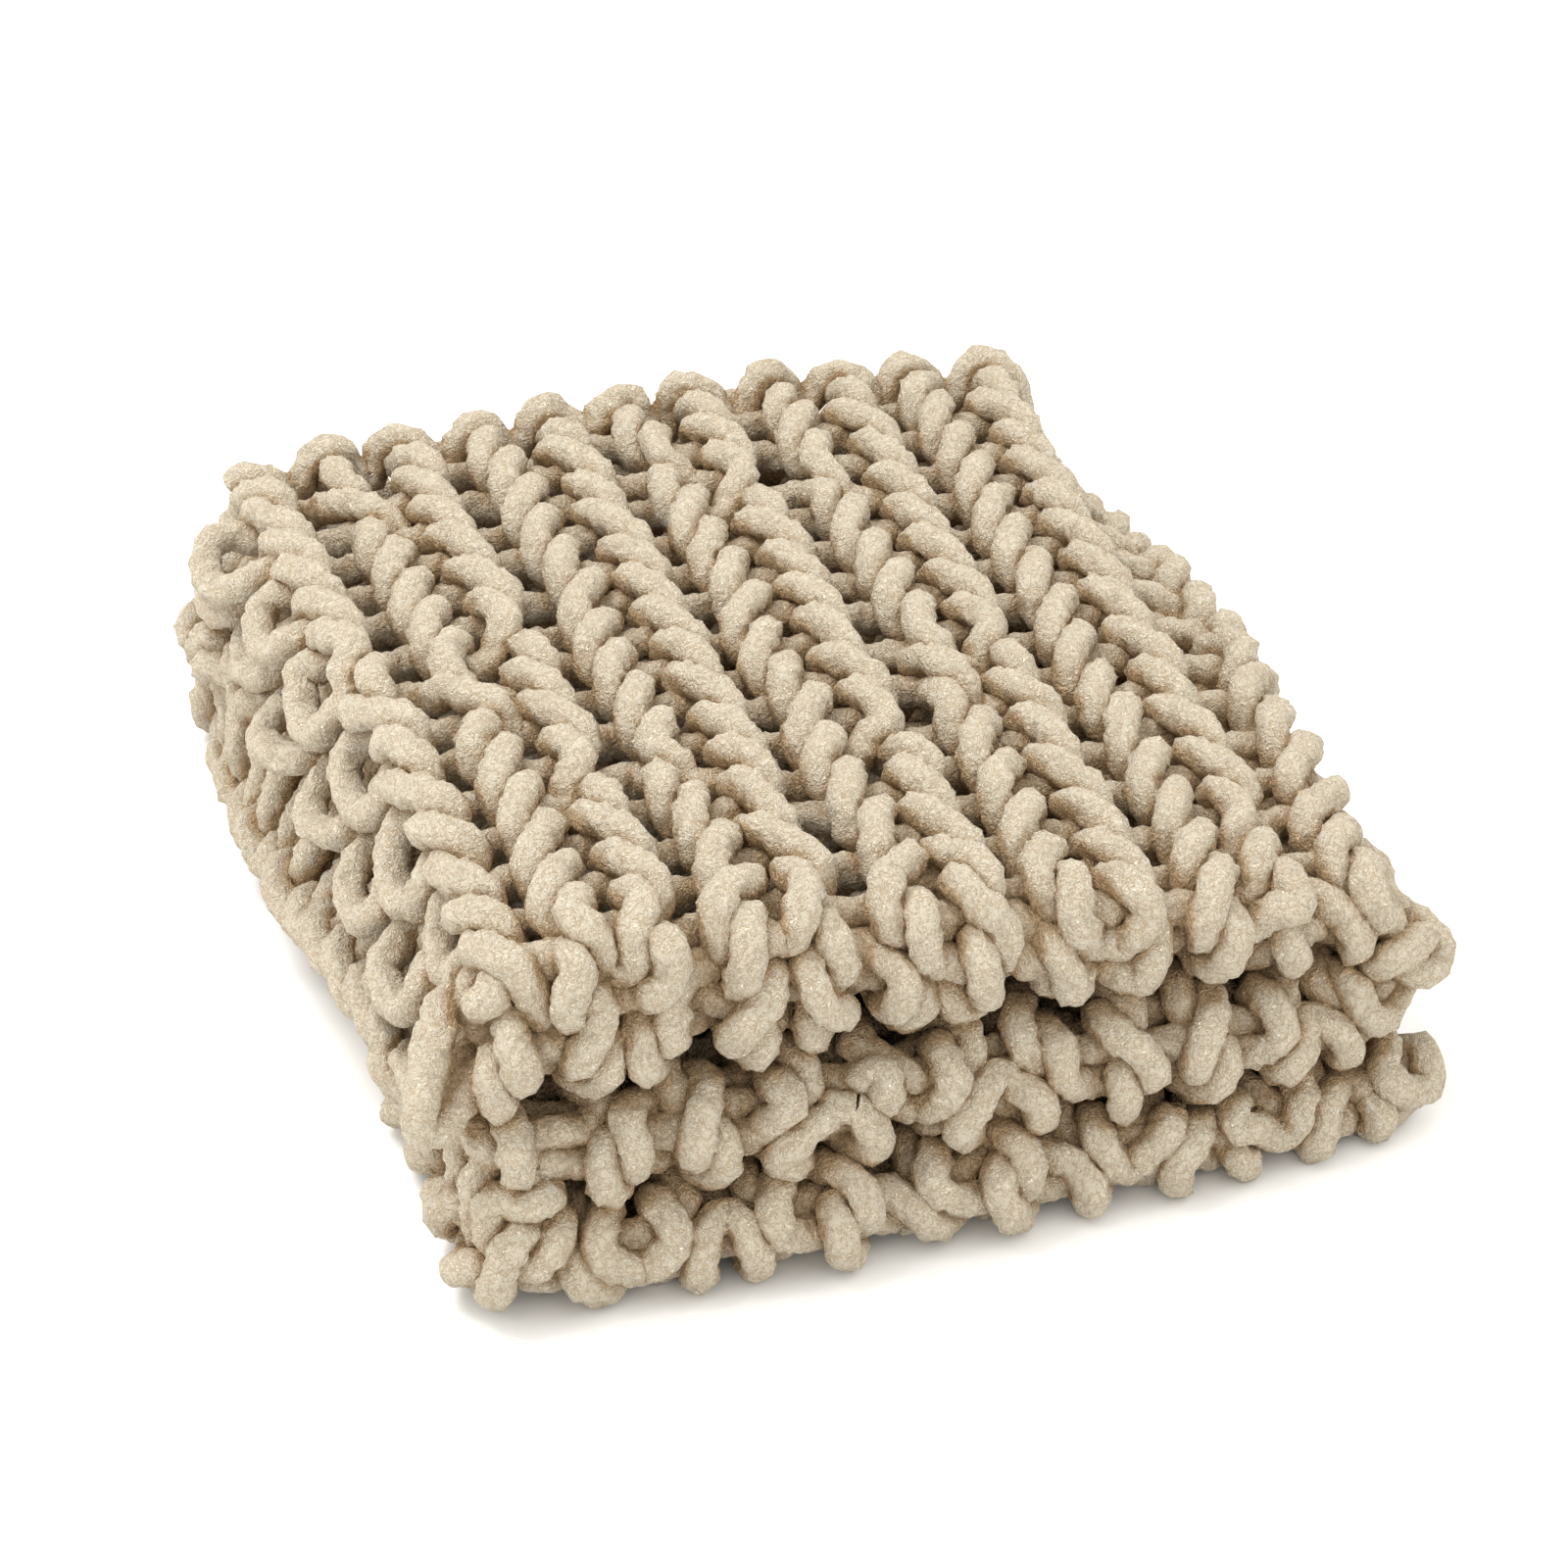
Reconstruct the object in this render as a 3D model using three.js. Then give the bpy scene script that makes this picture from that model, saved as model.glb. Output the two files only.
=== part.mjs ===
// Chunky hand-knit blanket, folded once end to end and then twice across its width.
// Millimetres, +Z up, the front (the closed end of the long fold) faces -Y.
// The origin is the middle of the footprint, on the surface that the blanket lies on.
import * as THREE from 'three';

// ---- The knitting ----
const WALES = 18; // columns of stitches across the blanket
const ROWS = 31; // rows of stitches along it
const WALE_PITCH = 73; // middle of one column to the middle of the next
const EDGE_WALE = 30; // side edge to the middle of the first column
const CLOTH = 19; // thickness of the knitting where it is pressed in the stack
const LEG_TOP_SPREAD = 9; // half distance between the two legs of a stitch where they come out
const LEG_END_SPREAD = 21; // the same where they go under the next stitch
const EDGE_ROUND = 6; // how far the rounded edge stands out past the last stitch

// One stitch along its column, from where its legs have spread and go under the next
// stitch, to where they come out side by side. spread: 0 is together, 1 is apart. gap,
// leg and middle: how deep the cloth lies between two columns, on a leg and between the
// legs. The bar from stitch to stitch fills the gap at the second stop.
const STITCH = [
  { at: 0, spread: 1, gap: 14, leg: 5, middle: 9 },
  { at: 0.36, spread: 0.55, gap: 9, leg: 1, middle: 6.5 },
  { at: 0.72, spread: 0, gap: 15, leg: 0, middle: 5 },
];

// ---- The folded stack, before it settles ----
const LEVEL = 44; // one doubled level of the stack
const GAP = 2; // air between two faces that lie against each other
const HALF = LEVEL / 2 - GAP / 2; // middle of a level to its outer face
const WIDTH = 420;
const DEPTH = 525;
const ROLL_X = WIDTH / 2 - LEVEL + GAP / 2; // middle of a side roll
const FRONT_Y = -DEPTH / 2 + HALF; // middle of the rounded front fold
const PRESSED = 9; // the underside is pressed flat by this much
const SQUARENESS = 4; // 2 would make the folds round, more makes them boxier
const ROLL_STEP = 17; // longest step round a side roll

// ---- The settled stack ----
// Heights of the top of each level: a row for the front, the middle and the back
// of the stack, each from the left to the right.
const LEVEL_TOPS = [
  [[46, 42, 38], [47, 46, 44], [47, 47, 46]],
  [[93, 98, 80], [95, 96, 90], [95, 95, 94]],
  [[192, 170, 120], [174, 172, 148], [156, 168, 158]],
];
// Where the side rolls and the open side edges lie, from the front to the back.
const LEFT_ROLL = [-240, -247, -240];
const LEFT_EDGE = [-212, -210, -212];
const RIGHT_ROLL = [230, 234, 246];
const RIGHT_EDGE = [222, 224, 216];
// Where the front and the back lie, from left to right: bottom, middle, top level.
const FRONT_SIDE = [[-286, -296, -284], [-277, -286, -280], [-282, -279, -271]];
const BACK_SIDE = [[268, 270, 268], [268, 272, 270], [270, 279, 270]];
const CORNER_ROUND = 0.03; // how far the corners of the footprint are drawn in

// Smooth curve through three values, at -1, 0 and +1.
function through([low, mid, high], at) {
  const slope = (high - low) / 2;
  const bend = (high + low) / 2 - mid;
  return mid + slope * at + bend * at * at;
}

// Smooth surface through a 3 x 3 table: rows first, then along the row.
function overTable(table, rowAt, columnAt) {
  return through(table.map((row) => through(row, columnAt)), rowAt);
}

// Tops of the three levels at one place of the footprint.
function levelTops(x, y) {
  const across = THREE.MathUtils.clamp(x / (WIDTH / 2), -1, 1);
  const back = THREE.MathUtils.clamp(y / (DEPTH / 2), -1, 1);
  return LEVEL_TOPS.map((table) => overTable(table, back, across));
}

// The stack settles: each level gets its own height and its own outline.
function settle(x, y, z) {
  const across = x / (WIDTH / 2);
  const back = y / (DEPTH / 2);
  const up = THREE.MathUtils.clamp((z / LEVEL - 1.5), -1, 1);
  const onTop = THREE.MathUtils.smoothstep(z, 2 * LEVEL - GAP, 2 * LEVEL + GAP);
  const overBottom = THREE.MathUtils.smoothstep(z, LEVEL - GAP, LEVEL + GAP);
  const left = THREE.MathUtils.lerp(through(LEFT_ROLL, back), through(LEFT_EDGE, back), onTop);
  const right = THREE.MathUtils.lerp(through(RIGHT_EDGE, back), through(RIGHT_ROLL, back), overBottom);
  const front = overTable(FRONT_SIDE, up, across);
  const rear = overTable(BACK_SIDE, up, across);
  const heights = [-PRESSED, ...levelTops(x, y)];
  const level = THREE.MathUtils.clamp(Math.floor(z / LEVEL), 0, 2);
  const within = z / LEVEL - level;
  const height = heights[level] + (heights[level + 1] - heights[level]) * within;
  const drawnIn = 1 - CORNER_ROUND * (across * back) ** 4;
  return new THREE.Vector3(
    (left + right) / 2 + (drawnIn * across * (right - left)) / 2,
    (front + rear) / 2 + (drawnIn * back * (rear - front)) / 2,
    Math.max(0, height),
  );
}

// ---- The two folds ----
const RUN = 2 * ROLL_X; // straight run between the side rolls
const END_RUN = WIDTH / 2 + ROLL_X; // run that ends in an open side edge
const ROLL_ARC = (Math.PI * LEVEL) / 2;
const ACROSS = END_RUN * 2 + RUN + ROLL_ARC * 2; // open edge to open edge
const STRETCH = ACROSS / (EDGE_WALE * 2 + (WALES - 1) * WALE_PITCH);

// Middle of the doubled cloth, followed across the width from the open left edge of
// the top level to the open right edge of the bottom level.
function acrossWidth(distance) {
  const rollOne = END_RUN;
  const rollTwo = rollOne + ROLL_ARC + RUN;
  if (distance < rollOne) {
    return { x: -WIDTH / 2 + distance, z: 2.5 * LEVEL, nx: 0, nz: 1, level: 2, radius: 0 };
  }
  if (distance < rollOne + ROLL_ARC) {
    const turn = ((distance - rollOne) / ROLL_ARC) * Math.PI;
    const nx = Math.sin(turn);
    const nz = Math.cos(turn);
    const level = turn < Math.PI / 2 ? 2 : 1;
    return { x: ROLL_X, z: 2 * LEVEL, nx, nz, level, radius: LEVEL / 2 };
  }
  if (distance < rollTwo) {
    const back = distance - rollOne - ROLL_ARC;
    return { x: ROLL_X - back, z: 1.5 * LEVEL, nx: 0, nz: -1, level: 1, radius: 0 };
  }
  if (distance < rollTwo + ROLL_ARC) {
    const turn = ((distance - rollTwo) / ROLL_ARC) * Math.PI;
    const nx = Math.sin(turn);
    const nz = -Math.cos(turn);
    const level = turn < Math.PI / 2 ? 1 : 0;
    return { x: -ROLL_X, z: LEVEL, nx, nz, level, radius: -LEVEL / 2 };
  }
  return { x: -ROLL_X + distance - rollTwo - ROLL_ARC, z: LEVEL / 2, nx: 0, nz: 1, level: 0, radius: 0 };
}

// Pushes the round section of a fold out towards its corners.
function boxed(one, other) {
  return (Math.abs(one) ** SQUARENESS + Math.abs(other) ** SQUARENESS) ** (-1 / SQUARENESS);
}

// How much taller than a level before settling the cloth stands at one place.
function fullness(place, y) {
  const tops = [-PRESSED, ...levelTops(place.x, y)];
  return (tops[place.level + 1] - tops[place.level]) / LEVEL;
}

// The doubled cloth followed from its upper back edge, round the front and back
// again: how far it lies from the middle of the level and how far back.
function alongLength(portion, frontFullness) {
  const straight = DEPTH / 2 - FRONT_Y;
  const turnLength = Math.PI * HALF * Math.sqrt((1 + frontFullness ** 2) / 2);
  const travelled = portion * (2 * straight + turnLength);
  if (travelled < straight) return { y: DEPTH / 2 - travelled, out: 1, forward: 0 };
  if (travelled > straight + turnLength) {
    return { y: FRONT_Y + travelled - straight - turnLength, out: -1, forward: 0 };
  }
  const turn = ((travelled - straight) / turnLength) * Math.PI;
  return { y: FRONT_Y, out: Math.cos(turn), forward: Math.sin(turn) };
}

// A point of the folded cloth. distance: across the width. portion: along the
// length, 0 to 1. depth: into the cloth from its outer, knit face. The cloth is
// thicker where it lies loose.
function onCloth(distance, portion, depth) {
  const fold = acrossWidth(distance);
  const run = alongLength(portion, fullness(fold, -DEPTH / 2));
  const full = fullness(fold, run.y);
  const give = Math.hypot(run.out * fold.nz * full, run.out * fold.nx, run.forward);
  const loosened = depth * Math.sqrt(full);
  const reach = HALF - Math.min(loosened / give, HALF - GAP / 2);
  const turned = reach * boxed(run.out, run.forward);
  const out = (run.out * turned + fold.radius) * boxed(fold.nx, fold.nz);
  return settle(fold.x + fold.nx * out, run.y - run.forward * turned, fold.z + fold.nz * out);
}

// ---- Lines of the knitting ----
// Lines that run along the columns: four to a column, closer round the side rolls.
const LINE_KINDS = ['gap', 'leg', 'middle', 'leg'];
const LINES = WALES * LINE_KINDS.length;
const BESIDE = [-1, -1, 0, 1];

function lineDistance(line, spread) {
  const part = line % 4;
  const middle = EDGE_WALE + Math.floor(line / 4) * WALE_PITCH;
  const legs = THREE.MathUtils.lerp(LEG_TOP_SPREAD, LEG_END_SPREAD, spread);
  const beside = BESIDE[part] * (LINE_KINDS[part] === 'gap' ? WALE_PITCH / 2 : legs);
  return THREE.MathUtils.clamp((middle + beside) * STRETCH, 0, ACROSS);
}

// Each stop is a place between two lines: 3 is line 3, 3.5 is halfway to line 4.
function columnStops(everyLine) {
  const stops = [];
  for (let line = 0; line < LINES; line += 1) {
    const from = lineDistance(line, 0.5);
    const to = lineDistance(line + 1, 0.5);
    const rolled = acrossWidth(from).radius !== 0 || acrossWidth(to).radius !== 0;
    const steps = rolled ? Math.ceil((to - from) / ROLL_STEP) : 1;
    if (everyLine || rolled || line % 4 === 0) {
      for (let step = 0; step < steps; step += 1) stops.push(line + step / steps);
    }
  }
  stops.push(LINES);
  return stops;
}

// How many stops one stitch has along its row: three where it shows on the outside of
// the stack, two on the pressed underside, one where it lies inside the stack.
function stopsOf(column, row) {
  const { level, radius } = acrossWidth(lineDistance(Math.round(column), 0.5));
  const upper = row < ROWS / 2;
  const atFront = Math.abs(row - ROWS / 2) < 3;
  const atBack = row < 1 || row > ROWS - 1;
  const onRoll = upper ? radius > 0 : radius < 0;
  const onTop = upper && radius === 0 && level === 2;
  if (atFront || atBack || onRoll || onTop) return 3;
  return !upper && radius === 0 && level === 0 ? 2 : 1;
}

function rowStops(column) {
  const rows = Array.from({ length: ROWS }, (_, row) => row);
  const stops = rows.flatMap((row) => (
    STITCH.slice(0, stopsOf(column, row + 0.5)).map(({ at }) => row + at)
  ));
  return [...stops, ROWS];
}

// Where one stop lies across the cloth, and how deep.
function knitPoint(column, row) {
  const number = STITCH.findLastIndex(({ at }) => at <= row % 1 + 1e-6);
  const stitch = STITCH[number];
  const line = Math.floor(column);
  const between = column - line;
  const [here, next] = [line, line + 1].map((one) => (
    { distance: lineDistance(one, stitch.spread), depth: stitch[LINE_KINDS[one % 4]] }
  ));
  const distance = THREE.MathUtils.lerp(here.distance, next.distance, between);
  const depth = THREE.MathUtils.lerp(here.depth, next.depth, between);
  return { distance, depth };
}

// ---- The solid ----
const positions = [];
const triangles = [];

function addPoint(point) {
  positions.push(point.x, point.y, point.z);
  return positions.length / 3 - 1;
}

// One line of points along the blanket, from its upper back edge to its lower one.
function addLine(column, rows, pointAt) {
  return rows.map((row) => ({ column, row, place: row, point: addPoint(pointAt(column, row)) }));
}

// Fills the strip between two lines of points, which may have different stops.
function fillStrip(one, other) {
  let k = 0;
  let m = 0;
  while (k + 1 < one.length || m + 1 < other.length) {
    const oneNext = k + 1 < one.length ? one[k + 1].place : Infinity;
    const otherNext = m + 1 < other.length ? other[m + 1].place : Infinity;
    if (oneNext <= otherNext) {
      triangles.push(one[k].point, one[k + 1].point, other[m].point);
      k += 1;
    } else {
      triangles.push(one[k].point, other[m + 1].point, other[m].point);
      m += 1;
    }
  }
}

const AROUND = [0, 1, 2, 3]; // the four sides of the cloth, in the order of the edge loop

// Once round the edge of the cloth: left edge, lower back edge, right edge, upper back
// edge. place is how far round: each side counts as 1.
function edgeLoop(lines) {
  const lengthPlace = (point) => point.row / ROWS;
  const widthPlace = (point) => point.column / LINES;
  const sides = [
    lines[0].map((point) => ({ ...point, place: lengthPlace(point) })),
    lines.map((line) => ({ ...line.at(-1), place: 1 + widthPlace(line[0]) })),
    lines.at(-1).map((point) => ({ ...point, place: 3 - lengthPlace(point) })).reverse(),
    lines.map((line) => ({ ...line[0], place: 4 - widthPlace(line[0]) })).reverse(),
  ];
  const loop = AROUND.flatMap((side) => sides[side].slice(0, -1));
  loop.push({ ...loop[0], place: 4 });
  return loop;
}

const knitLines = columnStops(true).map((stop) => addLine(stop, rowStops(stop), (column, row) => {
  const { distance, depth } = knitPoint(column, row);
  return onCloth(distance, row / ROWS, depth);
}));
const purlRows = Array.from({ length: ROWS + 1 }, (_, row) => row);
const purlLines = columnStops(false).map((stop) => addLine(stop, purlRows, (column, row) => (
  onCloth(knitPoint(column, row).distance, row / ROWS, CLOTH)
)));
knitLines.slice(1).forEach((line, i) => fillStrip(knitLines[i], line));
purlLines.slice(1).forEach((line, i) => fillStrip(line, purlLines[i]));

// The edge is rounded: a loop halfway through the cloth stands out past both faces.
const knitLoop = edgeLoop(knitLines);
const purlLoop = edgeLoop(purlLines);
const roundLoop = knitLoop.slice(0, -1).map(({ column, row, place }) => {
  const { distance } = knitPoint(column, row);
  const sideways = EDGE_ROUND * (Number(column === LINES) - Number(column === 0));
  const lengthways = EDGE_ROUND * (Number(row === ROWS) - Number(row === 0));
  const portion = row / ROWS + lengthways / (2 * DEPTH);
  return { point: addPoint(onCloth(distance + sideways, portion, CLOTH / 2)), place };
});
roundLoop.push({ ...roundLoop[0], place: 4 });
fillStrip(roundLoop, knitLoop);
fillStrip(purlLoop, roundLoop);

const cloth = new THREE.BufferGeometry();
cloth.setAttribute('position', new THREE.Float32BufferAttribute(positions, 3));
cloth.setIndex(triangles);
cloth.computeBoundingBox();
const middle = cloth.boundingBox.getCenter(new THREE.Vector3());
cloth.translate(-middle.x, -middle.y, 0);
cloth.computeVertexNormals();

const chenille = new THREE.MeshStandardMaterial({ color: 0xd9ccb6, roughness: 0.95, metalness: 0 });
const blanket = new THREE.Mesh(cloth, chenille);
blanket.name = 'knit_blanket';

const part = new THREE.Group();
part.name = 'chunky_knit_blanket';
part.add(blanket);

export default part;
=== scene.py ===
import math

import bpy
import numpy as np
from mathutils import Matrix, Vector


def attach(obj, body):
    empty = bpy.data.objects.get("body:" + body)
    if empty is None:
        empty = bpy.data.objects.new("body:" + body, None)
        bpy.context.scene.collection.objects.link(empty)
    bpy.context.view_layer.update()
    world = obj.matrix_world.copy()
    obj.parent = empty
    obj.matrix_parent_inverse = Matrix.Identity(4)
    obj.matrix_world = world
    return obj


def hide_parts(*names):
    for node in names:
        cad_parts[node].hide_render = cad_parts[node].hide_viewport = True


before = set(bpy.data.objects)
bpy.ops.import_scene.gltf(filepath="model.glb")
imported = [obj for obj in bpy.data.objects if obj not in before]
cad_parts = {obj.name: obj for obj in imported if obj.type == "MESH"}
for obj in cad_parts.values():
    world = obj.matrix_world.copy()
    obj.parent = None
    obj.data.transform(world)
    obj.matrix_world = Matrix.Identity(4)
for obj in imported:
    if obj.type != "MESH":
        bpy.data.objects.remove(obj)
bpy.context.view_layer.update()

# ---------------------------------------------------------------------------
# The knitted blanket. One jumbo chenille yarn, velvety and as thick as a thumb,
# is knitted by hand, back and forth through 31 rows of 18 stitches in stocking
# stitch. The open sheet is folded in half and then in three. It has no other parts.
# ---------------------------------------------------------------------------

# The yarn's middle line is drawn first on the flat sheet, in millimetres:
# across, along from the cast-on edge, and down from the knit face.
WALES, ROWS = 18, 31
WALE_PITCH, ROW_PITCH, EDGE_WALE = 76.0, 33.6, 30.0
YARN = 16.8

# One stitch from bar to bar: across from its middle, along from its row, depth.
STITCH = np.array([
    (-38, -5, 18.5), (-27, -4, 22), (-17, 0, 15.5), (-15, 8, 8), (-17, 18, 6),
    (-21, 28, 9), (-25, 38, 16), (-23, 47, 22.5), (-13, 54, 26), (0, 56, 26.5), (12, 54, 26),
    (21, 47, 22.5), (23, 38, 16), (20, 28, 9), (18, 18, 6), (16.5, 8, 8),
    (19, 0, 15.5), (27, -4, 22),
])
LEG_MIDDLE, LEG_ACROSS, LEG_WIDTH, STITCH_REACH = 20, 16, 12, 26

# The yarn turns round a side edge from one row into the next.
TURN = np.array([
    (28, -3, 17), (40, -7, 14), (53, -4, 10), (61, 7, 8),
    (62, 22, 8), (55, 36, 10), (42, 41, 14), (29, 37, 17),
])
TURN_ROOT = 26
RIGHT_TURN, LEFT_TURN = 0.6, 1.1
WIDE_TURN, WIDE_TURN_ROW, WIDE_TURN_ROWS = 0.25, 18, 1.5

# It is cast on and bound off with a strand that winds over and under the end stitches.
WINDING = np.array([
    (-38, -7, 29), (-28, -12, 18), (-19, -11, 7), (-9, -6, 14),
    (0, -3, 24), (9, -6, 14), (19, -11, 7), (28, -12, 18),
])
BOUND_OFF = (ROWS - 1) * ROW_PITCH + 37

# Hand knitting is uneven, most of all in a loose patch beside the left edge.
LOOSE_WALE, LOOSE_WALES, LOOSE_ROW, LOOSE_ROWS = 0.8, 1.6, 17, 3.5
SIZE_SPREAD, LOOSE_SIZE = 0.09, 0.12
LEAN_SPREAD, LOOSE_LEAN, SWING_SPREAD = 0.12, 0.1, 0.13
ROW_SPREAD, POINT_SPREAD = 2.2, 1.2
TURN_SPREAD, TURN_SIZE_SPREAD, WINDING_SPREAD = 1.5, 0.12, 2.4

draw = np.random.default_rng(20)


def stitch_points(row, wale):
    """The points of one stitch, a little uneven as hand knitting is."""
    points = STITCH.astype(float).copy()
    if wale == 0:
        points = points[2:]
    if wale == WALES - 1:
        points = points[:-1]
    loose = np.exp(-(((wale - LOOSE_WALE) / LOOSE_WALES) ** 2) - ((row - LOOSE_ROW) / LOOSE_ROWS) ** 2)
    size = 1 + draw.normal(0, SIZE_SPREAD) + LOOSE_SIZE * loose
    lean = draw.normal(0, LEAN_SPREAD + LOOSE_LEAN * loose)
    swing = draw.normal(0, SWING_SPREAD, 2)
    along = points[:, 1] - LEG_MIDDLE
    leg = np.exp(-((np.abs(points[:, 0]) - LEG_ACROSS) / LEG_WIDTH) ** 2)
    side = np.where(points[:, 0] > 0, swing[0], swing[1]) * leg
    grown = 1 + (size - 1) * np.exp(-((points[:, 0] / STITCH_REACH) ** 4))
    points[:, 0] = points[:, 0] * grown + (lean + side) * along
    points[:, 1] = LEG_MIDDLE + along * size + draw.normal(0, ROW_SPREAD)
    points += draw.normal(0, POINT_SPREAD, points.shape) * (1, 1, 0.7)
    middle = EDGE_WALE + wale * WALE_PITCH
    return np.stack([middle + points[:, 0], row * ROW_PITCH + points[:, 1], points[:, 2]], 1)


def edge_strand(along):
    """The winding strand of the cast-on or bound-off edge, from its last stitch to its first."""
    outwards = -1 if along else 1
    strand = [
        WINDING * (1, outwards, 1) + draw.normal(0, WINDING_SPREAD, WINDING.shape)
        + (EDGE_WALE + wale * WALE_PITCH, along, 0)
        for wale in range(WALES)
    ]
    strand[0], strand[-1] = strand[0][1:], strand[-1][:-1]
    return np.concatenate(strand)[::-1]


def turn_points(row):
    """The loop at a side edge that leads out of a row: right after even rows, else left."""
    turn = TURN + draw.normal(0, TURN_SPREAD, TURN.shape) + (0, row * ROW_PITCH, 0)
    wide = LEFT_TURN + WIDE_TURN * math.exp(-(((row - WIDE_TURN_ROW) / WIDE_TURN_ROWS) ** 2))
    size = 1 + draw.normal(0, TURN_SIZE_SPREAD)
    size *= RIGHT_TURN if row % 2 == 0 else wide
    turn[:, 0] = TURN_ROOT + (turn[:, 0] - TURN_ROOT) * size
    last = EDGE_WALE + (WALES - 1) * WALE_PITCH
    turn[:, 0] = last + turn[:, 0] if row % 2 == 0 else EDGE_WALE - turn[:, 0]
    return turn


def yarn_on_the_flat():
    """The whole yarn, from the cast-on strand through every row to the bound-off strand."""
    path = [edge_strand(0)]
    for row in range(ROWS):
        stitches = np.concatenate([stitch_points(row, wale) for wale in range(WALES)])
        path.append(stitches if row % 2 == 0 else stitches[::-1])
        if row < ROWS - 1:
            path.append(turn_points(row))
    path.append(edge_strand(BOUND_OFF))
    return np.concatenate(path)


def smooth_line(points, per_span=5):
    """A Catmull-Rom curve through the points."""
    ends = np.concatenate([points[:1] * 2 - points[1:2], points, points[-1:] * 2 - points[-2:-1]])
    a, b, c, d = ends[:-3], ends[1:-2], ends[2:-1], ends[3:]
    t = (np.arange(per_span) / per_span)[None, :, None]
    a, b, c, d = (x[:, None, :] for x in (a, b, c, d))
    bend, twist = 2 * a - 5 * b + 4 * c - d, 3 * b - a - 3 * c + d
    curve = 0.5 * (2 * b + (c - a) * t + bend * t**2 + twist * t**3)
    return np.concatenate([curve.reshape(-1, points.shape[1]), points[-1:]])


# The sheet is folded in half end to end, with that fold at the front, and then in
# three across its width. These are the sizes of the stack before it settles.
LEVEL, AIR = 44.0, 2.0
HALF = LEVEL / 2 - AIR / 2
WIDTH, DEPTH = 420.0, 525.0
ROLL_X = WIDTH / 2 - LEVEL + AIR / 2
FRONT_Y = -DEPTH / 2 + HALF
SQUARENESS = 4

# Heights of the three levels' tops once settled, in rows from front to back, each from
# left to right. Then where the sides lie: left and right from front to back, and front
# and back in rows from bottom to top.
LEVEL_TOPS = np.array([
    [[46, 42, 38], [47, 46, 44], [47, 47, 46]],
    [[93, 98, 80], [95, 96, 90], [95, 95, 94]],
    [[192, 170, 120], [174, 172, 148], [156, 168, 158]],
], float)
LEFT_ROLL, LEFT_EDGE = (-241, -240, -240), (-212, -212, -236)
RIGHT_ROLL, RIGHT_EDGE = (226, 235, 250), (204, 214, 212)
FRONT_SIDE = ((-290, -300, -290), (-277, -288, -280), (-282, -280, -272))
BACK_SIDE = ((268, 270, 268), (268, 272, 270), (284, 292, 284))
CORNER_ROUND = 0.03
MIDDLE_OF_STACK = (-3.8, -5.1)


def through(values, at):
    """A smooth value through three: at -1, 0 and 1."""
    low, mid, high = values
    return mid + (high - low) / 2 * at + ((high + low) / 2 - mid) * at * at


def over_table(table, row_at, column_at):
    """A smooth value through three rows of three."""
    return through([through(row, column_at) for row in table], row_at)


def step_between(x, low, high):
    """Rises smoothly from 0 at low to 1 at high."""
    t = np.clip((x - low) / (high - low), 0, 1)
    return t * t * (3 - 2 * t)


def level_tops(x, y):
    """How high the tops of the three levels lie at places of the stack."""
    across = np.clip(x / (WIDTH / 2), -1, 1)
    back = np.clip(y / (DEPTH / 2), -1, 1)
    return np.stack([over_table(table, back, across) for table in LEVEL_TOPS])


def settle(x, y, z):
    """Moves points of the square stack to where the soft folded blanket comes to rest."""
    across, back = x / (WIDTH / 2), y / (DEPTH / 2)
    up = np.clip(z / LEVEL - 1.5, -1, 1)
    on_top = step_between(z, 2 * LEVEL - AIR, 2 * LEVEL + AIR)
    over_bottom = step_between(z, LEVEL - AIR, LEVEL + AIR)
    left = through(LEFT_ROLL, back) * (1 - on_top) + through(LEFT_EDGE, back) * on_top
    right = through(RIGHT_EDGE, back) * (1 - over_bottom) + through(RIGHT_ROLL, back) * over_bottom
    front, rear = over_table(FRONT_SIDE, up, across), over_table(BACK_SIDE, up, across)
    heights = np.concatenate([np.zeros((1, len(x))), level_tops(x, y)])
    level = np.clip(np.floor(z / LEVEL), 0, 2).astype(int)
    each = np.arange(len(x))
    low, high = heights[level, each], heights[level + 1, each]
    drawn_in = 1 - CORNER_ROUND * (across * back) ** 4
    return np.stack([
        (left + right) / 2 + drawn_in * across * (right - left) / 2 - MIDDLE_OF_STACK[0],
        (front + rear) / 2 + drawn_in * back * (rear - front) / 2 - MIDDLE_OF_STACK[1],
        low + (high - low) * (z / LEVEL - level),
    ], 1)


# Going across the folded cloth: the plain runs, the rolls between them, and how much
# closer the wales lie than on the open sheet.
RUN, END_RUN, ROLL_ARC = 2 * ROLL_X, WIDTH / 2 + ROLL_X, math.pi * LEVEL / 2
STRETCH = 0.917
CLOTH_WIDTH = (EDGE_WALE * 2 + (WALES - 1) * WALE_PITCH) * STRETCH
BOTTOM_START = END_RUN + RUN + ROLL_ARC * 2
# The folds are not quite true to the wales, and the top edge hangs over the side.
ASKEW, ASKEW_MIDDLE = 0.09, 4.0
HANG_START, HANG_RADIUS = 20.0, 34.0
HANG_BEND = HANG_RADIUS - 10
LYING_REACH, LYING_DROOP = 0.8, 300
LOWER_LAYER, UPPER_LAYER = -0.5, 0.3
THINNEST, TIGHTEST = 0.1, 2
# Folding presses the yarn closer to the middle of the cloth where there is less room.
CORE, PRESSED_DEPTH, MOST_PRESSED = 11, 17, 0.45
CAST_ON_AT, CLOTH_PART = 0.995, 0.959


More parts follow.
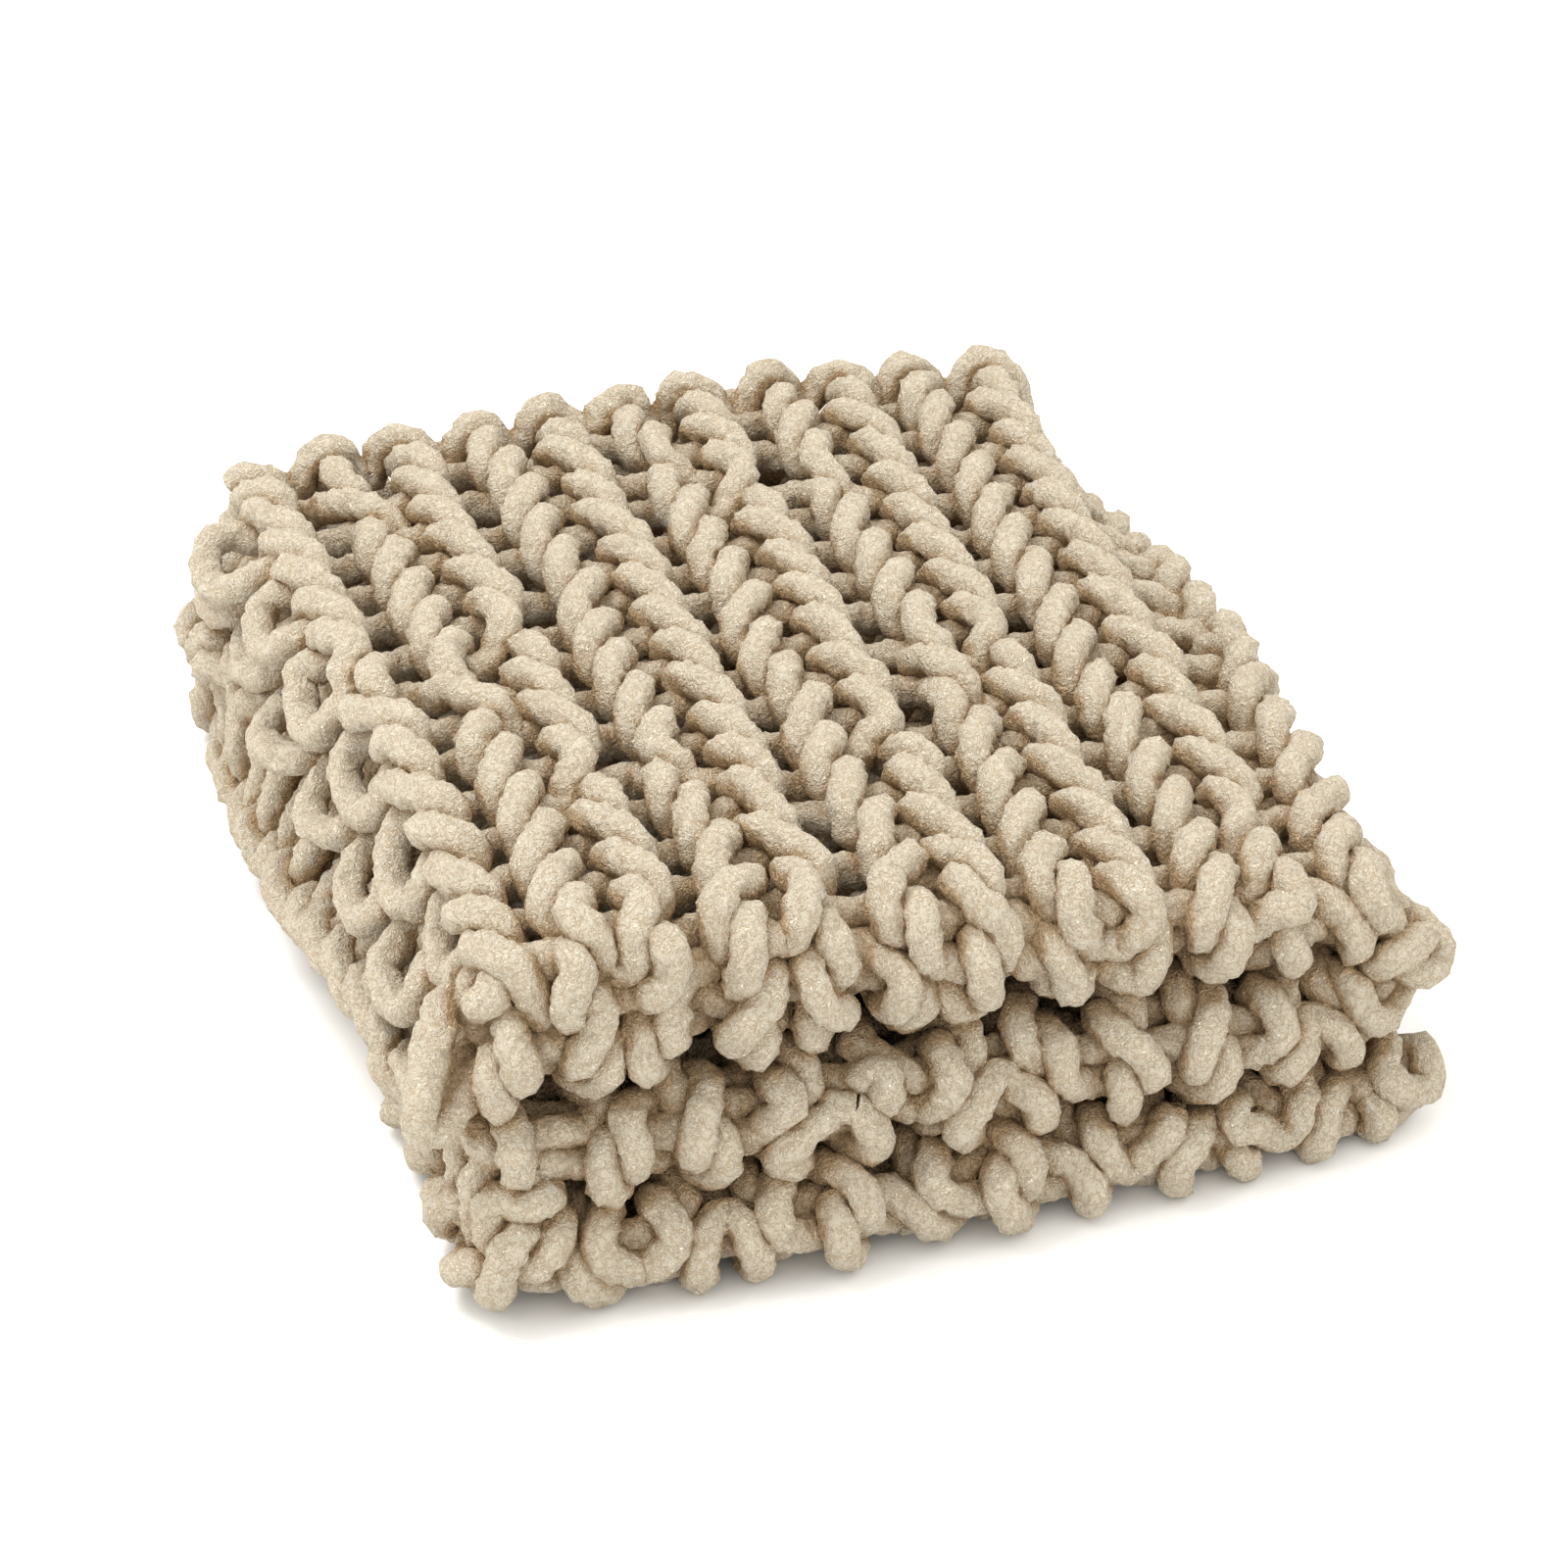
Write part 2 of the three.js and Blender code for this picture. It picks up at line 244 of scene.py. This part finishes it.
def across_width(distance):
    """Middle of the doubled cloth: x, z, outward x and z, level, radius of the roll."""
    one, two = END_RUN, END_RUN + ROLL_ARC + RUN
    turn_one = np.clip((distance - one) / ROLL_ARC, 0, 1) * math.pi
    turn_two = np.clip((distance - two) / ROLL_ARC, 0, 1) * math.pi
    places = [distance < one, distance < one + ROLL_ARC, distance < two, distance < two + ROLL_ARC]
    zero = np.zeros_like(distance)
    back = distance - one - ROLL_ARC
    x = np.select(places, [-WIDTH / 2 + distance, zero + ROLL_X, ROLL_X - back, zero - ROLL_X],
                  -ROLL_X + distance - two - ROLL_ARC)
    z = np.select(places, [zero + 2.5 * LEVEL, zero + 2 * LEVEL, zero + 1.5 * LEVEL, zero + LEVEL],
                  LEVEL / 2)
    nx = np.select(places, [zero, np.sin(turn_one), zero, np.sin(turn_two)], 0)
    nz = np.select(places, [zero + 1, np.cos(turn_one), zero - 1, -np.cos(turn_two)], 1)
    level = np.select(places, [zero + 2, np.where(turn_one < math.pi / 2, 2, 1), zero + 1,
                               np.where(turn_two < math.pi / 2, 1, 0)], 0).astype(int)
    radius = np.select(places, [zero, zero + LEVEL / 2, zero, zero - LEVEL / 2], 0)
    return x, z, nx, nz, level, radius


def fullness(x, level, y):
    """How thick the settled level is at a place, with 1 for its plain height."""
    tops = np.concatenate([np.zeros((1, len(x))), level_tops(x, y)])
    each = np.arange(len(x))
    return (tops[level + 1, each] - tops[level, each]) / LEVEL


def along_length(portion, front_fullness):
    """The half fold: y, and how far a point faces out of the doubled cloth and forward."""
    straight = DEPTH / 2 - FRONT_Y
    turn_length = math.pi * HALF * np.sqrt((1 + front_fullness**2) / 2)
    travelled = portion * (2 * straight + turn_length)
    turn = np.clip((travelled - straight) / turn_length, 0, 1) * math.pi
    returning = FRONT_Y + travelled - straight - turn_length
    y = np.where(travelled < straight, DEPTH / 2 - travelled,
                 np.where(travelled > straight + turn_length, returning, FRONT_Y))
    return y, np.cos(turn), np.sin(turn)


def boxed(one, other):
    """How much further a turn reaches when it is fuller at its corners than a round one."""
    return (np.abs(one) ** SQUARENESS + np.abs(other) ** SQUARENESS) ** (-1 / SQUARENESS)


def placed(travel, portion, depth):
    """A point of the cloth once it is folded: travel across, portion along, depth in."""
    x, z, nx, nz, level, radius = across_width(travel)
    y, out, forward = along_length(portion, fullness(x, level, np.full(len(x), -DEPTH / 2)))
    full = fullness(x, level, y)
    give = np.sqrt((out * nz * full) ** 2 + (out * nx) ** 2 + forward**2)
    squeeze = np.clip((HALF * give - CORE) / PRESSED_DEPTH, MOST_PRESSED, 1)
    inward = (YARN / 2 + (depth - YARN / 2) * squeeze) * (depth > 0)
    reach = HALF - np.minimum(inward / give, HALF)
    turned = reach * boxed(out, forward)
    outward = (out * turned + radius) * boxed(nx, nz)
    return settle(x + nx * outward, y - forward * turned, z + nz * outward), y, out


def travel_across(flat, y):
    """How far across the folded cloth a point lies, with the folds askew."""
    shift = ASKEW_MIDDLE + ASKEW * y
    travel = flat[:, 0] * STRETCH + shift
    end = CLOTH_WIDTH + shift
    bottom = BOTTOM_START + (travel - BOTTOM_START) * END_RUN / (end - BOTTOM_START)
    return np.where(travel > BOTTOM_START, bottom, travel)


def along_cloth(flat):
    """How far along the cloth a point lies, from its top back edge at 0 to the lower one at 1."""
    return CAST_ON_AT - flat[:, 1] / (ROW_PITCH * ROWS) * CLOTH_PART


def on_cloth(flat):
    """Folds points of the flat blanket into the stack, with its open left edge hanging over."""
    portion = along_cloth(flat)
    y = placed(flat[:, 0] * STRETCH, portion, flat[:, 2])[1]
    travel = travel_across(flat, y)
    start = np.maximum(travel, HANG_START)
    points, _, out = placed(start, portion, flat[:, 2])
    face = placed(start, portion, np.zeros(len(flat)))[0]
    inward = face - points
    depth = np.linalg.norm(inward, axis=1)
    normal = inward / np.maximum(depth, THINNEST)[:, None]
    over = np.maximum(HANG_START - travel, 0)
    turn = np.minimum(over / HANG_BEND, math.pi / 2)
    arm = np.maximum(HANG_RADIUS - depth, TIGHTEST)
    drop = HANG_RADIUS - arm * np.cos(turn) + np.maximum(over - HANG_BEND * math.pi / 2, 0)
    hanging = face - normal * drop[:, None]
    hanging[:, 0] -= arm * np.sin(turn)
    lying = points - np.stack([over * LYING_REACH, 0 * over, over**2 / LYING_DROOP], 1)
    upper = step_between(out, LOWER_LAYER, UPPER_LAYER)[:, None]
    return np.where((over > 0)[:, None], lying + (hanging - lying) * upper, points)


def evenly(points, step):
    """The same line with points a given step apart."""
    along = np.concatenate([[0], np.cumsum(np.linalg.norm(np.diff(points[:, :3], axis=0), axis=1))])
    stops = np.linspace(0, along[-1], int(round(along[-1] / step)) + 1)
    return np.stack([np.interp(stops, along, points[:, k]) for k in range(points.shape[1])], 1)


STEP = 6.0
flat_line = smooth_line(yarn_on_the_flat())
joined = evenly(np.concatenate([on_cloth(flat_line), flat_line], 1), STEP)
line, flat_line = joined[:, :3].copy(), joined[:, 3:6]


def pairs_within(points, reach, skip):
    """Pairs of points nearer than reach that are not close along the yarn."""
    cells = np.floor(points / reach).astype(np.int64)
    cells -= cells.min(0) - 1
    size = cells.max(0) + 2
    key = (cells[:, 0] * size[1] + cells[:, 1]) * size[2] + cells[:, 2]
    order = np.argsort(key, kind="stable")
    ordered = key[order]
    found = []
    for dx in (-1, 0, 1):
        for dy in (-1, 0, 1):
            for dz in (-1, 0, 1):
                shift = (dx * size[1] + dy) * size[2] + dz
                low = np.searchsorted(ordered, key + shift, "left")
                count = np.searchsorted(ordered, key + shift, "right") - low
                one = np.repeat(np.arange(len(points)), count)
                first = np.repeat(np.cumsum(count) - count, count)
                other = order[np.repeat(low, count) + np.arange(len(one)) - first]
                keep = other > one + skip
                one, other = one[keep], other[keep]
                near = np.linalg.norm(points[one] - points[other], axis=1) < reach
                found.append(np.stack([one[near], other[near]], 1))
    return np.concatenate(found)


ROUNDS, TOUCH, HOLD = 60, YARN * 0.84, 0.02
NEIGHBOURS_EVERY, NEIGHBOUR_REACH, NEIGHBOUR_SKIP = 6, TOUCH + 6, 3
PUSH, LONGEST_PUSH, TENSION = 0.25, 2.0, 0.12
FLOOR_UNDER_YARN = YARN * 0.44


def settle_yarn(points):
    """Lets the yarn push itself apart where it touches, under its own tension."""
    start = points.copy()
    rest = np.linalg.norm(np.diff(points, axis=0), axis=1)
    count = len(points)
    for turn in range(ROUNDS):
        if turn % NEIGHBOURS_EVERY == 0:
            one, other = pairs_within(points, NEIGHBOUR_REACH, NEIGHBOUR_SKIP).T
        gap = points[one] - points[other]
        far = np.linalg.norm(gap, axis=1) + 1e-9
        move = gap * (np.clip(TOUCH - far, 0, None) / far * PUSH)[:, None]
        shift = np.stack([
            np.bincount(one, move[:, k], count) - np.bincount(other, move[:, k], count)
            for k in range(3)
        ], 1)
        points = points + np.clip(shift, -LONGEST_PUSH, LONGEST_PUSH)
        points[1:-1] += TENSION * (points[:-2] + points[2:] - 2 * points[1:-1])
        for first in (0, 1, 0, 1):
            a, b = slice(first, count - 1, 2), slice(first + 1, count, 2)
            span = points[b] - points[a]
            length = np.linalg.norm(span, axis=1)
            fix = span * ((length - rest[first::2]) / (length + 1e-9) * 0.5)[:, None]
            points[a] += fix
            points[b] -= fix
        points += HOLD * (start - points)
        points[:, 2] = np.maximum(points[:, 2], FLOOR_UNDER_YARN)
    return points


line = settle_yarn(line)

# Rings of the yarn stand close together where it shows and wide apart where it is hidden.
FINE, UNDER, COARSE = 2.8, 6.0, 12.0
FOLD_ROWS, END_ROWS, OPEN_EDGE = 3.2, 1.2, 40
BLENDED = 4


def shown(flat):
    """1 where the yarn is on the outside of the stack, 0.5 underneath, else 0."""
    row = flat[:, 1] / ROW_PITCH
    distance = travel_across(flat, placed(flat[:, 0] * STRETCH, along_cloth(flat), flat[:, 2])[1])
    level, radius = across_width(distance)[4:]
    upper = row > ROWS / 2
    outside = (np.abs(row - ROWS / 2) < FOLD_ROWS) | (row < END_ROWS) | (row > ROWS - END_ROWS)
    outside |= np.where(upper, radius > 0, radius < 0) | (upper & (radius == 0) & (level == 2))
    outside |= (distance < OPEN_EDGE) | (flat[:, 0] * STRETCH > CLOTH_WIDTH - OPEN_EDGE)
    under = ~upper & (level == 0) & (radius == 0)
    return np.where(outside, 1.0, np.where(under, 0.5, 0.0))


spacing = np.interp(shown(flat_line), [0, 0.5, 1], [COARSE, UNDER, FINE])
window = np.ones(2 * BLENDED + 1) / (2 * BLENDED + 1)
spacing = np.convolve(np.pad(spacing, BLENDED, mode="edge"), window, "valid")
ring_number = np.concatenate([[0], np.cumsum(STEP / spacing[1:])])
smooth = smooth_line(np.concatenate([line, ring_number[:, None]], 1), 4)
stops = np.arange(int(ring_number[-1]) + 1)
yarn_line = np.stack([np.interp(stops, smooth[:, 3], smooth[:, k]) for k in range(3)], 1)

# How much of the space round each place is yarn, in cells blurred a little. Pile
# that lies deep between strands gets painted shade from it, darker and warmer.
CELL, BLURS, MARGIN = 4.0, (5.5, 13.0), 60.0
LOOK_OUT = (7, 15)
corner = yarn_line.min(0) - MARGIN
cell_of = ((yarn_line - corner) / CELL).astype(int)
room = np.zeros(cell_of.max(0) + int(MARGIN / CELL) + 2)
span = np.linalg.norm(np.gradient(yarn_line, axis=0), axis=1)
np.add.at(room, tuple(cell_of.T), span * math.pi * YARN**2 / 4 / CELL**3)
waves = [np.fft.fftfreq(n, CELL) for n in room.shape]
waves = sum(w**2 for w in np.meshgrid(*waves, indexing="ij"))
falling = sum(np.exp(-2 * (math.pi * blur) ** 2 * waves) for blur in BLURS) / len(BLURS)
room = np.fft.ifftn(np.fft.fftn(room) * falling).real


def filled(places):
    """The share of yarn round each place, read between the cells."""
    at = (places - corner) / CELL - 0.5
    low = np.floor(at).astype(int)
    part = at - low
    total = np.zeros(len(places))
    for x in (0, 1):
        for y in (0, 1):
            for z in (0, 1):
                step = np.array((x, y, z))
                weight = np.prod(np.where(step, part, 1 - part), axis=1)
                near = np.clip(low + step, 0, np.array(room.shape) - 1)
                total += weight * room[tuple(near.T)]
    return total


class Socket:
    """An output of a node. Arithmetic on it makes maths nodes, and node() makes any other."""

    def __init__(self, tree, output=None):
        self.tree, self.output = tree, output

    def node(self, kind, settings=None, values=None, out=0):
        """Adds a node, with its settings by name and its inputs as values or links."""
        made = self.tree.nodes.new(kind)
        for name, setting in (settings or {}).items():
            setattr(made, name, setting)
        for name, value in (values or {}).items():
            if isinstance(value, Socket):
                self.tree.links.new(value.output, made.inputs[name])
            else:
                made.inputs[name].default_value = value
        return Socket(self.tree, made.outputs[out] if made.outputs else None)

    def maths(self, operation, one, other=0.0):
        return self.node("ShaderNodeMath", {"operation": operation}, {0: one, 1: other})

    def __add__(self, other):
        return self.maths("ADD", self, other)

    def __radd__(self, other):
        return self.maths("ADD", other, self)

    def __sub__(self, other):
        return self.maths("SUBTRACT", self, other)

    def __rsub__(self, other):
        return self.maths("SUBTRACT", other, self)

    def __mul__(self, other):
        return self.maths("MULTIPLY", self, other)

    def __rmul__(self, other):
        return self.maths("MULTIPLY", other, self)

    def __truediv__(self, other):
        return self.maths("DIVIDE", self, other)

    def __rtruediv__(self, other):
        return self.maths("DIVIDE", other, self)

    def __abs__(self):
        return self.maths("ABSOLUTE", self)


# Colours of the pile: tips, with painted shade in creases and deep between strands.
# Tufts, fibres and clouds are counted to the metre, and the pile's height is in metres.
OPEN_TIPS, DEEP_SHADE_TIPS = (0.98, 0.868, 0.685, 1), (0.77, 0.535, 0.295, 1)
OPEN_CREASE_SHADE, DEEP_CREASE_SHADE = (0.72, 0.555, 0.355, 1), (0.42, 0.25, 0.11, 1)
TUFTS, FIBRES, CLOUDS = 220.0, 700.0, 60.0
TUFT_SHARE, FIBRE_SHARE = 0.55, 0.45
PUFF, PILE_HEIGHT = 6, 0.0042
CREASE, TIP = 0.05, 0.45
SHADE_STARTS_AT, FULL_SHADE_AT, CLOUDINESS = 0.08, 0.44, 0.2


def chenille():
    """Velvety pile of jumbo chenille: puffed tufts, with painted shade in thin creases between them and
    deep between strands.
    """
    stuff = bpy.data.materials.new("chenille_yarn")
    stuff.use_nodes = True
    stuff.node_tree.nodes.clear()
    pile = Socket(stuff.node_tree)
    place = pile.node("ShaderNodeTexCoord", out="Object")
    crowded = pile.node("ShaderNodeAttribute", {"attribute_name": "crowded"}, out="Fac")

    def noise(scale, roughness=0.5):
        values = {"Vector": place, "Scale": scale, "Detail": 2.0, "Roughness": roughness}
        return pile.node("ShaderNodeTexNoise", values=values)

    def puffs(scale):
        return pile.maths("MINIMUM", abs(noise(scale, 0.6) - 0.5) * PUFF, 1.0)

    def smooth_step(value, low, high):
        values = {"Value": value, "From Min": low, "From Max": high}
        return pile.node("ShaderNodeMapRange", {"interpolation_type": "SMOOTHSTEP"}, values)

    def blend(factor, one, other):
        return pile.node("ShaderNodeMix", {"data_type": "RGBA"}, {0: factor, 6: one, 7: other}, 2)

    height = puffs(TUFTS) * TUFT_SHARE + puffs(FIBRES) * FIBRE_SHARE
    # Painted shade: where the pile's bump height is low, in the creases between tufts, its colour is
    # darker.
    tips = smooth_step(height, CREASE, TIP)
    # Painted shade: where much yarn stands just outside the pile, its colour goes darker and warmer,
    # with cloudy noise at the edge.
    painted_deep_shade = smooth_step(crowded + (noise(CLOUDS) - 0.5) * CLOUDINESS, SHADE_STARTS_AT, FULL_SHADE_AT)
    colour = blend(tips, blend(painted_deep_shade, OPEN_CREASE_SHADE, DEEP_CREASE_SHADE), blend(painted_deep_shade, OPEN_TIPS, DEEP_SHADE_TIPS))
    bump = pile.node("ShaderNodeBump", values={
        "Height": height, "Strength": 1.0, "Distance": PILE_HEIGHT,
    })
    shader = pile.node("ShaderNodeBsdfPrincipled", values={
        "Base Color": colour, "Normal": bump, "Roughness": 0.95, "Specular IOR Level": 0.15,
        "Sheen Weight": 0.2, "Sheen Roughness": 0.6, "Sheen Tint": (1.0, 0.93, 0.82, 1),
    })
    pile.node("ShaderNodeOutputMaterial", values={"Surface": shader})
    return stuff


# The yarn is round, in metres, with broad lumps and smaller clumps in its pile.
YARN_SIZES = {
    "Radius": 0.0080, "Lump Size": 0.011, "Lump Height": 0.0026,
    "Clump Size": 0.0060, "Clump Height": 0.0074,
}
MILLIMETRE = 0.001
SIDES = 16
ABOVE_FLOOR = 0.0002


def round_yarn_tree(stuff):
    """Sweeps the yarn round its middle line and makes its pile uneven."""
    tree = bpy.data.node_groups.new("round_yarn", "GeometryNodeTree")
    tree.interface.new_socket("Geometry", in_out="INPUT", socket_type="NodeSocketGeometry")
    for name in YARN_SIZES:
        tree.interface.new_socket(name, in_out="INPUT", socket_type="NodeSocketFloat")
    tree.interface.new_socket("Geometry", in_out="OUTPUT", socket_type="NodeSocketGeometry")
    enter = tree.nodes.new("NodeGroupInput")
    given = {socket.name: Socket(tree, socket) for socket in enter.outputs if socket.name}
    yarn = given["Geometry"]

    curve = yarn.node("GeometryNodeMeshToCurve", values={"Mesh": yarn})
    circle = yarn.node("GeometryNodeCurvePrimitiveCircle",
                       values={"Resolution": SIDES, "Radius": given["Radius"]})
    swept = yarn.node("GeometryNodeCurveToMesh",
                      values={"Curve": curve, "Profile Curve": circle, "Fill Caps": True})

    def swell(size, rise):
        values = {"Vector": yarn.node("GeometryNodeInputPosition"), "Scale": 1.0 / size, "Detail": 1.0}
        return (yarn.node("ShaderNodeTexNoise", values=values) - 0.5) * rise

    lumps = swell(given["Lump Size"], given["Lump Height"])
    clumps = swell(given["Clump Size"], given["Clump Height"])
    outward = yarn.node("ShaderNodeVectorMath", {"operation": "SCALE"},
                        {0: yarn.node("GeometryNodeInputNormal"), "Scale": lumps + clumps})
    uneven = yarn.node("GeometryNodeSetPosition", values={"Geometry": swept, "Offset": outward})

    lying = yarn.node("GeometryNodeInputPosition")
    x, y, z = (yarn.node("ShaderNodeSeparateXYZ", values={0: lying}, out=axis) for axis in range(3))
    lifted = yarn.maths("MAXIMUM", z, ABOVE_FLOOR)
    rest = yarn.node("ShaderNodeCombineXYZ", values={0: x, 1: y, 2: lifted})
    flat_below = yarn.node("GeometryNodeSetPosition", values={"Geometry": uneven, "Position": rest})
    smoothed = yarn.node("GeometryNodeSetShadeSmooth", values={"Geometry": flat_below})
    real = yarn.node("GeometryNodeRealizeInstances", values={"Geometry": smoothed})
    covered = yarn.node("GeometryNodeSetMaterial", values={"Geometry": real, "Material": stuff})
    yarn.node("NodeGroupOutput", values={"Geometry": covered})
    return tree


# A skein's skin is laid out flat for its baked picture: the tube is opened along one
# side and cut into strips, which stand side by side under the two end caps.
STRIPS = 20
STRIP_GAP, STRIP_FOOT, STRIP_HEIGHT = 0.04, 0.005, 0.95
CAP_START, CAP_APART, CAP_ROW, CAP_SIZE = 0.02, 0.04, 0.985, 0.012


def lay_out_skin(swept, points):
    """Lays a skein's skin out flat in strips, which its baked picture follows."""
    corner_of = np.empty(len(swept.loops), np.int32)
    swept.loops.foreach_get("vertex_index", corner_of)
    starts = np.empty(len(swept.polygons), np.int32)
    swept.polygons.foreach_get("loop_start", starts)
    counts = np.diff(np.append(starts, len(corner_of)))
    ring, side = corner_of // SIDES, corner_of % SIDES
    first = np.repeat(np.minimum.reduceat(ring, starts), counts)
    widest = np.maximum.reduceat(side, starts) - np.minimum.reduceat(side, starts)
    end_cap = np.repeat(counts > 4, counts)
    seam = np.repeat(widest == SIDES - 1, counts) & ~end_cap
    side = np.where(seam & (side == 0), SIDES, side)
    along = np.concatenate([[0], np.cumsum(np.linalg.norm(np.diff(points, axis=0), axis=1))])
    length = along[-1] / STRIPS
    strip = np.minimum((along[first] / length).astype(int), STRIPS - 1)
    angle = side / SIDES * 2 * math.pi
    strip_across = (strip + STRIP_GAP + (1 - 2 * STRIP_GAP) * side / SIDES) / STRIPS
    strip_up = STRIP_FOOT + STRIP_HEIGHT * (along[ring] / length - strip)
    cap_across = CAP_START + CAP_APART * (ring > 0) + CAP_SIZE * np.cos(angle)
    across = np.where(end_cap, cap_across, strip_across)
    upward = np.where(end_cap, CAP_ROW + CAP_SIZE * np.sin(angle), strip_up)
    flat = swept.uv_layers.new(name="OFBake")
    flat.data.foreach_set("uv", np.stack([across, upward], 1).astype(np.float32).ravel())


def swept_yarn(points):
    """One skein's length of the round yarn along its middle line, as a plain mesh."""
    thread = bpy.data.meshes.new("thread")
    thread.from_pydata([tuple(p) for p in points], [(k, k + 1) for k in range(len(points) - 1)], [])
    source = bpy.data.objects.new("thread", thread)
    bpy.context.scene.collection.objects.link(source)
    sweep = source.modifiers.new("round yarn", "NODES")
    sweep.node_group = round_yarn
    for item in round_yarn.interface.items_tree:
        if item.name in YARN_SIZES:
            sweep[item.identifier] = YARN_SIZES[item.name]
    bpy.context.view_layer.update()
    evaluated = source.evaluated_get(bpy.context.evaluated_depsgraph_get())
    swept = bpy.data.meshes.new_from_object(evaluated)
    bpy.data.objects.remove(source)
    return swept


def mark_crowded(swept):
    """Notes on each point of the skin how much yarn stands just outside it, for the pile's painted
    shade.
    """
    places = np.empty(len(swept.vertices) * 3, np.float32)
    swept.vertices.foreach_get("co", places)
    facing = np.empty(len(swept.vertices) * 3, np.float32)
    swept.vertex_normals.foreach_get("vector", facing)
    places, facing = places.reshape(-1, 3) / MILLIMETRE, facing.reshape(-1, 3)
    crowd = sum(filled(places + facing * reach) for reach in LOOK_OUT) / len(LOOK_OUT)
    swept.attributes.new("crowded", "FLOAT", "POINT").data.foreach_set("value", crowd.astype(np.float32))


# The yarn comes in skeins that are joined end to end. Here it is six pieces, cut so that
# each has the same number of rings.
SKEINS = 6
round_yarn = round_yarn_tree(chenille())
cuts = np.linspace(0, len(yarn_line) - 1, SKEINS + 1).astype(int)
for number in range(SKEINS):
    points = yarn_line[cuts[number]:cuts[number + 1] + 1] * MILLIMETRE
    swept = swept_yarn(points)
    mark_crowded(swept)
    lay_out_skin(swept, points)
    piece = bpy.data.objects.new(f"knitted_yarn_{number + 1}", swept)
    swept.name = piece.name
    bpy.context.scene.collection.objects.link(piece)
    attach(piece, "root")
    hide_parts("knit_blanket")

# ---------------------------------------------------------------------------
# The floor: a plain pale matt sheet, wide enough to run out of sight. It is only
# there to catch the shadow under the blanket.
# ---------------------------------------------------------------------------
FLOOR_REACH, PAPER_COLOUR, PAPER_ROUGHNESS = 6, (0.9, 0.9, 0.9, 1), 0.9
floor_mesh = bpy.data.meshes.new("floor")
floor_corners = [(x * FLOOR_REACH, y * FLOOR_REACH, 0) for x, y in ((-1, -1), (1, -1), (1, 1), (-1, 1))]
floor_mesh.from_pydata(floor_corners, [], [(0, 1, 2, 3)])
floor = bpy.data.objects.new("floor", floor_mesh)
bpy.context.scene.collection.objects.link(floor)
paper = bpy.data.materials.new("floor")
paper.use_nodes = True
paper.node_tree.nodes["Principled BSDF"].inputs["Base Color"].default_value = PAPER_COLOUR
paper.node_tree.nodes["Principled BSDF"].inputs["Roughness"].default_value = PAPER_ROUGHNESS
floor_mesh.materials.append(paper)

# ---------------------------------------------------------------------------
# The light: an even, slightly warm studio room, and one large soft lamp high on
# the left that shapes the stitches.
# ---------------------------------------------------------------------------
ROOM_COLOUR, ROOM_LIGHT = (1, 0.985, 0.95, 1), 1.6
LAMP_PLACE, LAMP_AIM = Vector((-0.9, 0.3, 2.2)), Vector((0, 0, 0.1))
LAMP_SIZE, LAMP_POWER = 1.2, 31
world = bpy.data.worlds.new("studio")
bpy.context.scene.world = world
world.use_nodes = True
world.node_tree.nodes["Background"].inputs["Color"].default_value = ROOM_COLOUR
world.node_tree.nodes["Background"].inputs["Strength"].default_value = ROOM_LIGHT

lamp = bpy.data.lights.new("key", "AREA")
lamp.shape = "DISK"
lamp.size = LAMP_SIZE
lamp.energy = LAMP_POWER
key = bpy.data.objects.new("key", lamp)
bpy.context.scene.collection.objects.link(key)
key.location = LAMP_PLACE
key.rotation_euler = (LAMP_AIM - LAMP_PLACE).to_track_quat("-Z", "Y").to_euler()

# ---------------------------------------------------------------------------
# The camera: a long lens, a little to the left of the front and looking down by
# about 30 degrees, so that the top, the front folds and the left side all show.
# ---------------------------------------------------------------------------
AZIMUTH, ELEVATION, DISTANCE = math.radians(-19.6), math.radians(29.8), 2.150
AIM = (0.0028, -0.0098, 0.080)
SENSOR = 36
FRAME_WIDTH, FOCAL_LENGTH = 1600, 4600
camera_data = bpy.data.cameras.new("camera")
camera_data.sensor_width = SENSOR
camera_data.lens = FOCAL_LENGTH / FRAME_WIDTH * SENSOR
camera = bpy.data.objects.new("camera", camera_data)
bpy.context.scene.collection.objects.link(camera)
camera.location = (
    AIM[0] + DISTANCE * math.sin(AZIMUTH) * math.cos(ELEVATION),
    AIM[1] - DISTANCE * math.cos(AZIMUTH) * math.cos(ELEVATION),
    AIM[2] + DISTANCE * math.sin(ELEVATION),
)
camera.rotation_euler = (math.pi / 2 - ELEVATION, 0, AZIMUTH)
bpy.context.scene.camera = camera
bpy.context.scene.view_settings.view_transform = "Standard"
